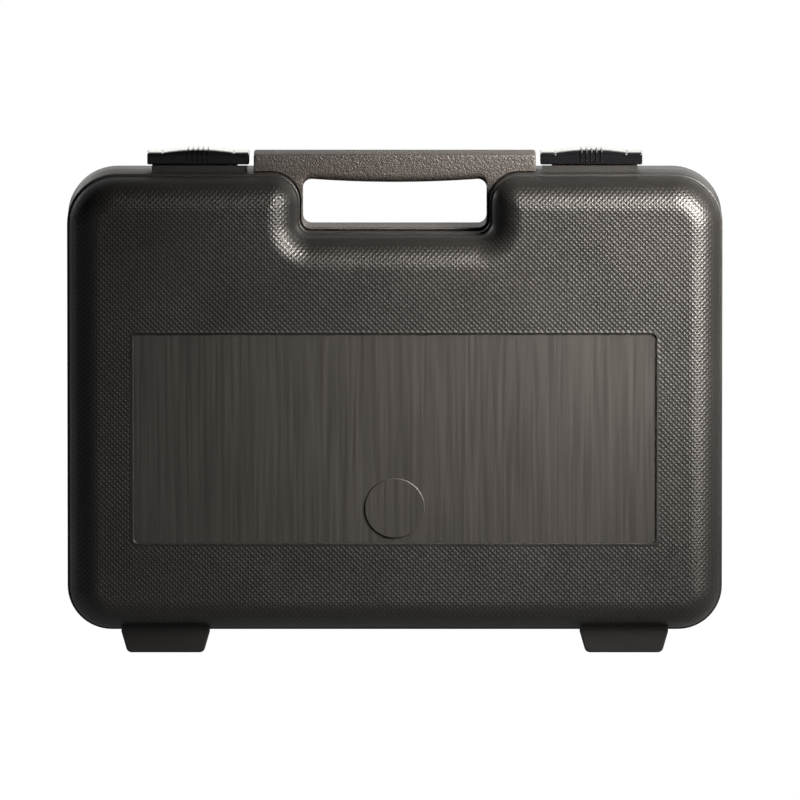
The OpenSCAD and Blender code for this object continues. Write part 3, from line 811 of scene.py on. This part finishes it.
class CASE_OT_grip(bpy.types.Operator):
    """Build the grip ring with its rounded bar and the tenons that hold it"""
    bl_idname = "case.grip"
    bl_label = "Grip Ring"

    def execute(self, context):
        s = sizes()
        d = s.grip_d / 2
        bar_r, seat_edge, under_r, mouth_r, lid_play, step, tenon = 1.2, 0.5, 4.5, 0.6, 0.4, 0.05, 3.5
        skin = Skin()

        def edge(side, play):
            """Loops of the front or back edge, rounder on the bar than beside the notch."""
            loop = grip_outline(s, play)
            r = np.where(loop[:, 1] > s.top + 3, bar_r, seat_edge)
            return [level(offset(loop, inset), side * (d - drop)) for inset, drop in round_over(r)]

        def mouth(side):
            """Loops of the finger opening, from a face to where the bar's round underside ends."""
            loops = []
            for y in (0, 0.05, 0.2, mouth_r, 1.1, 1.8, 2.7, 3.6, under_r):
                sine = 1 - y / under_r
                loop = finger_opening(s, under_r * (1 - math.sqrt(max(0, 1 - sine * sine))))
                grow = mouth_r * (1 - math.sqrt(1 - max(0, 1 - y / mouth_r) ** 2))
                low = smooth((s.grip_top - s.grip_h - 1 - loop[:, 1]) / 3)
                loops.append(level(offset(loop, -grow * low), side * (d - y)))
            return loops

        # the half over the lid stands clear of it, and the half over the base lies on it
        outer = skin.loft([*edge(-1, lid_play), level(grip_outline(s, lid_play), -step),
                           level(grip_outline(s, 0), step), *edge(1, 0)[::-1]])
        inner = skin.loft([*mouth(-1), *mouth(1)[::-1]])
        skin.fill(outer[0], [inner[0]])
        skin.fill(outer[-1], [inner[-1]])
        for side in (-1, 1):
            x = side * (s.grip_w / 2 - SEAT_R - tenon)
            skin.block((x - tenon, 4, s.top - 7), (x + tenon, 9, s.top + 1), 0.3)
        settle(skin.make("grip_ring", [finish_of("grip")], 24), "base", "handle_plastic", "handle")
        return {"FINISHED"}


# --- latches ----------------------------------------------------------------------------


def slide_outline(s):
    """Front view of a slide: flat ends, and a hump between two small grooves."""
    half_w, h, groove, top = s.slide_w / 2, s.hump_w / 2, 0.4, s.slide_z + s.slide_t
    low_r, top_r = 0.9, 1
    t = np.linspace(1, -1, 29)
    hump = np.stack([(h - groove) * t, top + s.hump_h * (1 - t * t)], 1)
    ends = np.concatenate([arc((half_w - low_r, s.slide_z + low_r), low_r, 270, 360, 3),
                           arc((half_w - top_r, top - top_r), top_r, 0, 90, 5),
                           [(h + groove, top), (h, top - groove)]])
    return np.concatenate([ends, hump, ends[::-1] * (-1, 1)])


def slide(s, side):
    """One latch slide: bevelled body with grip ribs, bored underneath for its rail."""
    skin, ribs, channel, slot = Skin(), Skin(), Skin(), Skin()
    loop, bevel, y = slide_outline(s), 0.8, 8.5
    edge = [(inset, y - drop) for inset, drop in round_over(bevel)]
    path = [(inset, -depth) for inset, depth in edge] + edge[::-1]
    ids = skin.loft([level(offset(loop, inset), depth) for inset, depth in path])
    skin.fill(ids[0])
    skin.fill(ids[-1])
    rib_pitch, rib, rib_r = 2.6, 0.45, 0.28
    for k in range(-2, 3):
        u = rib_pitch * k
        top = s.slide_z + s.slide_t + s.hump_h * (1 - (u / (s.hump_w / 2)) ** 2) + rib
        ribs.block((u - rib, -y - rib, s.slide_z + 1.6), (u + rib, -y + 1, top), rib_r)
        ribs.block((u - rib, -y + 0.3, top - 2), (u + rib, y - 0.3, top), rib_r)
    run, wide, narrow = s.slide_w / 2 - 2.2, 2.7, 1.3
    channel.block((-run, s.rail_y - wide, s.slide_z + 1.2), (run, s.rail_y + wide, s.slide_z + 3.4))
    slot.block((-run, s.rail_y - narrow, s.slide_z - 1), (run, s.rail_y + narrow, s.slide_z + 2))
    for part in (skin, ribs, channel, slot):
        part.points = [[side * (s.latch_x + px), py, pz] for px, py, pz in part.points]
    finish = [finish_of("latch")]
    cutters = [channel.make("channel", []), slot.make("slot", [])]
    return join("slide", [skin.make("body", finish), ribs.make("ribs", finish)], cutters, finish, 28)


def dress(node, part):
    """Gives a CAD node rounded edges and a part's material."""
    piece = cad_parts[node]
    if not piece.material_slots:
        piece.data.materials.append(None)
    for slot in piece.material_slots:
        slot.link = "OBJECT"
        slot.material = finish_of(part)
    edge = piece.modifiers.new("rounded edges", "BEVEL")
    edge.width, edge.segments, edge.limit_method = 0.0002, 2, "ANGLE"


class CASE_OT_latches(bpy.types.Operator):
    """Build both latch slides, and finish their teeth and the lid's keepers"""
    bl_idname = "case.latches"
    bl_label = "Latches"

    def execute(self, context):
        s = sizes()
        for side, name in ((-1, "left"), (1, "right")):
            piece = slide(s, side)
            piece.name = f"slide_{name}"
            settle(piece, f"latch_{name}", "latch_plastic", f"latch_slide_{name}")
            dress(f"latch_teeth_{name}", "latch")
            dress(f"lid_keepers_{name}", "shell")
        return {"FINISHED"}


class CASE_OT_pins(bpy.types.Operator):
    """Finish the two hinge pins"""
    bl_idname = "case.pins"
    bl_label = "Hinge Pins"

    def execute(self, context):
        for name in ("hinge_pin_left", "hinge_pin_right"):
            dress(name, "pin")
        return {"FINISHED"}


# --- foam -------------------------------------------------------------------------------


class CASE_OT_foam(bpy.types.Operator):
    """Build the lid's waved foam pad, the die-cut tray and the sheet under it"""
    bl_idname = "case.foam"
    bl_label = "Foam"

    def execute(self, context):
        s = sizes()
        edge, pitch, pad_t, sheet_t = s.wall + 0.5, 4, 18, 10

        crest = s.cavity - pad_t
        pad = Skin()
        path = [(0.8, s.cavity), (0, s.cavity - 0.8), (0, crest + s.egg_h), (0.4, crest + s.egg_h - 1)]
        ids = pad.loft([level(outline(s, edge + inset, pitch), -y) for inset, y in path])
        x, z = np.meshgrid(np.arange(-s.side, s.side, 3.0), np.arange(s.low, s.top, 3.0), indexing="ij")
        inset = inset_of(s, x, z) - edge
        wave = 0.5 - 0.5 * np.cos(2 * np.pi * x / s.egg_pitch) * np.cos(2 * np.pi * z / s.egg_pitch)
        y = crest + s.egg_h * (1 - smooth(inset / 6) * (1 - wave))
        kept = inset > 1.6
        inner = pad.add(np.stack([x[kept], -y[kept], z[kept]], 1))
        pad.fill(ids[0])
        pad.fill(ids[-1], inner=inner)
        self.finish(pad, "lid_foam_pad", "lid", "lid_foam", 60)

        deck, under, lip_r, pocket_r = s.gap + 1, s.cavity - sheet_t, 1.4, 1.2
        tray = Skin()
        lip = [(lip_r, deck), (0.75, deck + 0.15), (0.2, deck + 0.6), (0, deck + lip_r), (0, under)]
        ids = tray.loft([level(outline(s, edge + inset, pitch), y) for inset, y in lip])
        pockets = [tray.loft([level(offset(loop, -pocket_r * inset / lip_r), y) for inset, y in lip])
                   for loop in self.pockets(s)]
        tray.fill(ids[0], [p[0] for p in pockets])
        tray.fill(ids[-1], [p[-1] for p in pockets])
        self.finish(tray, "foam_tray", "base", "base_foam_tray", 40)

        cut = 0.5
        sheet = Skin()
        ids = sheet.loft([level(outline(s, edge + inset, pitch), y) for inset, y in (
            (cut, under), (0, under + cut), (0, s.cavity - cut), (cut, s.cavity))])
        sheet.fill(ids[0])
        sheet.fill(ids[-1])
        self.finish(sheet, "foam_backing", "base", "base_foam_backing", 40)
        return {"FINISHED"}

    def pockets(self, s):
        """Outlines of the pockets for a microphone, its clip and cable, and a shock mount."""
        margin, between, under_notch, clip_r, pitch = 14, 16, 41.6, 12, 6
        left, low = -s.side + s.wall + margin, s.low + s.wall + margin
        mount_r, high = 50, 56
        w = -2 * left - 2 * mount_r - between
        clip_low = low + high + margin
        clip_h = s.notch_low - under_notch - clip_low
        return [rounded(w, high, high / 2 - 0.01, (left + w / 2, low + high / 2),
                        steps=24, pitch=pitch),
                rounded(w, clip_h, clip_r, (left + w / 2, clip_low + clip_h / 2),
                        steps=10, pitch=pitch),
                arc((-left - mount_r, clip_low), mount_r, 0, 357, 119)]

    def finish(self, skin, name, body, node, sharp):
        piece = settle(skin.make(name, [finish_of("foam")], sharp), body, "foam", node)


# --- studio -------------------------------------------------------------------------


class CASE_OT_studio(bpy.types.Operator):
    """Set up the paper floor, lamps, world and camera"""
    bl_idname = "case.studio"
    bl_label = "Studio"

    def execute(self, context):
        scene = context.scene
        scene.view_settings.view_transform = "Standard"
        target = Vector((0.00272, 0, 0.12853))

        mesh = bpy.data.meshes.new("studio_floor")
        mesh.from_pydata([(-6, -6, 0), (6, -6, 0), (6, 9, 0), (-6, 9, 0)], [], [(0, 1, 2, 3)])
        mesh.materials.append(finish_of("floor"))
        floor = stand("studio_floor", mesh)

        def at(azimuth, elevation, distance):
            """A place seen from the target, in degrees and metres."""
            a, e = math.radians(azimuth), math.radians(elevation)
            way = Vector((math.sin(a) * math.cos(e), -math.cos(a) * math.cos(e), math.sin(e)))
            return target + distance * way

        def aim(thing, spot, to):
            """Puts a lamp or camera on its spot and points it."""
            thing.location = spot
            thing.rotation_euler = (to - spot).to_track_quat("-Z", "Y").to_euler()

        corner = Vector((0.15, -0.03, 0.215))  # the upper right corner of the lid
        for name, spot, to, power, size, spread, tint in (
                ("key_softbox", Vector((0.38, -0.26, 0.40)), corner, 2.7, (0.3, 0.3), 55, "#fff8f0"),
                ("left_fill", at(-62, 12, 1.4), target, 0.3, (0.6, 0.6), 180, "#dfe8ff"),
                ("back_softbox", Vector((0, 1.2, 0.37)), target, 1.5, (1.4, 0.22), 180, "#fffcf6")):
            lamp = bpy.data.lights.new(name, "AREA")
            lamp.shape, lamp.energy, lamp.color = "RECTANGLE", power, linear(tint)[:3]
            lamp.size, lamp.size_y = size
            lamp.spread = math.radians(spread)
            holder = stand(name, lamp)
            holder.visible_camera = False
            aim(holder, spot, to)

        world = bpy.data.worlds.new("studio_world")
        world.use_nodes = True
        tree = world.node_tree
        tree.nodes.clear()
        # a dim room, brightest straight behind the object and nearly dark from the sides forward; the
        # camera sees it white
        way = add(tree, "ShaderNodeSeparateXYZ",
                  sockets={0: add(tree, "ShaderNodeTexCoord").outputs["Generated"]})
        room = add(tree, "ShaderNodeMapRange", {"interpolation_type": "SMOOTHSTEP"}, {
            "Value": way.outputs["Y"], "From Min": 0.4, "From Max": 1.0, "To Min": 0.02, "To Max": 0.4})
        path = add(tree, "ShaderNodeLightPath").outputs
        seen = add(tree, "ShaderNodeMath", {"operation": "MAXIMUM"},
                   {0: path["Is Camera Ray"], 1: path["Is Transmission Ray"]})
        strength = add(tree, "ShaderNodeMath", {"operation": "MAXIMUM"},
                       {0: seen.outputs[0], 1: room.outputs[0]})
        sky = add(tree, "ShaderNodeBackground", sockets={
            "Color": (1, 1, 1, 1), "Strength": strength.outputs[0]})
        add(tree, "ShaderNodeOutputWorld", sockets={"Surface": sky.outputs[0]})
        scene.world = world

        distance, elevation, sensor, frame_w = 12.0, 7, 36.0, 0.4160
        view = bpy.data.cameras.new("camera")
        view.sensor_width, view.lens = sensor, sensor * distance / frame_w
        view.clip_start, view.clip_end = 0.5, 60.0
        camera = stand("camera", view)
        aim(camera, at(0, elevation, distance), target)
        scene.camera = camera
        return {"FINISHED"}


OPERATORS = (CASE_OT_studio, CASE_OT_base, CASE_OT_lid, CASE_OT_feet, CASE_OT_pins, CASE_OT_grip,
             CASE_OT_latches, CASE_OT_foam)


class CASE_PT_sidebar(bpy.types.Panel):
    """Lists the pieces of the case, its sizes and its colours"""
    bl_label = "Microphone Case"
    bl_idname = "CASE_PT_sidebar"
    bl_space_type = "VIEW_3D"
    bl_region_type = "UI"
    bl_category = "Case"

    def draw(self, context):
        for operator in OPERATORS:
            self.layout.operator(operator.bl_idname)
        for group in (context.scene.case_sizes, context.scene.case_colours):
            box = self.layout.box()
            for name in type(group).__annotations__:
                box.prop(group, name)


CLASSES = (CaseSizes, CaseColours, *OPERATORS, CASE_PT_sidebar)


def register():
    """Registers the classes and puts the sizes and colours on the scene."""
    for item in CLASSES:
        bpy.utils.register_class(item)
    bpy.types.Scene.case_sizes = bpy.props.PointerProperty(type=CaseSizes)
    bpy.types.Scene.case_colours = bpy.props.PointerProperty(type=CaseColours)


def unregister():
    """Takes the sizes, colours and classes away again."""
    del bpy.types.Scene.case_colours
    del bpy.types.Scene.case_sizes
    for item in reversed(CLASSES):
        bpy.utils.unregister_class(item)


def main():
    register()
    for operator in OPERATORS:
        group, name = operator.bl_idname.split(".")
        getattr(getattr(bpy.ops, group), name)()


if __name__ == "__main__":
    main()
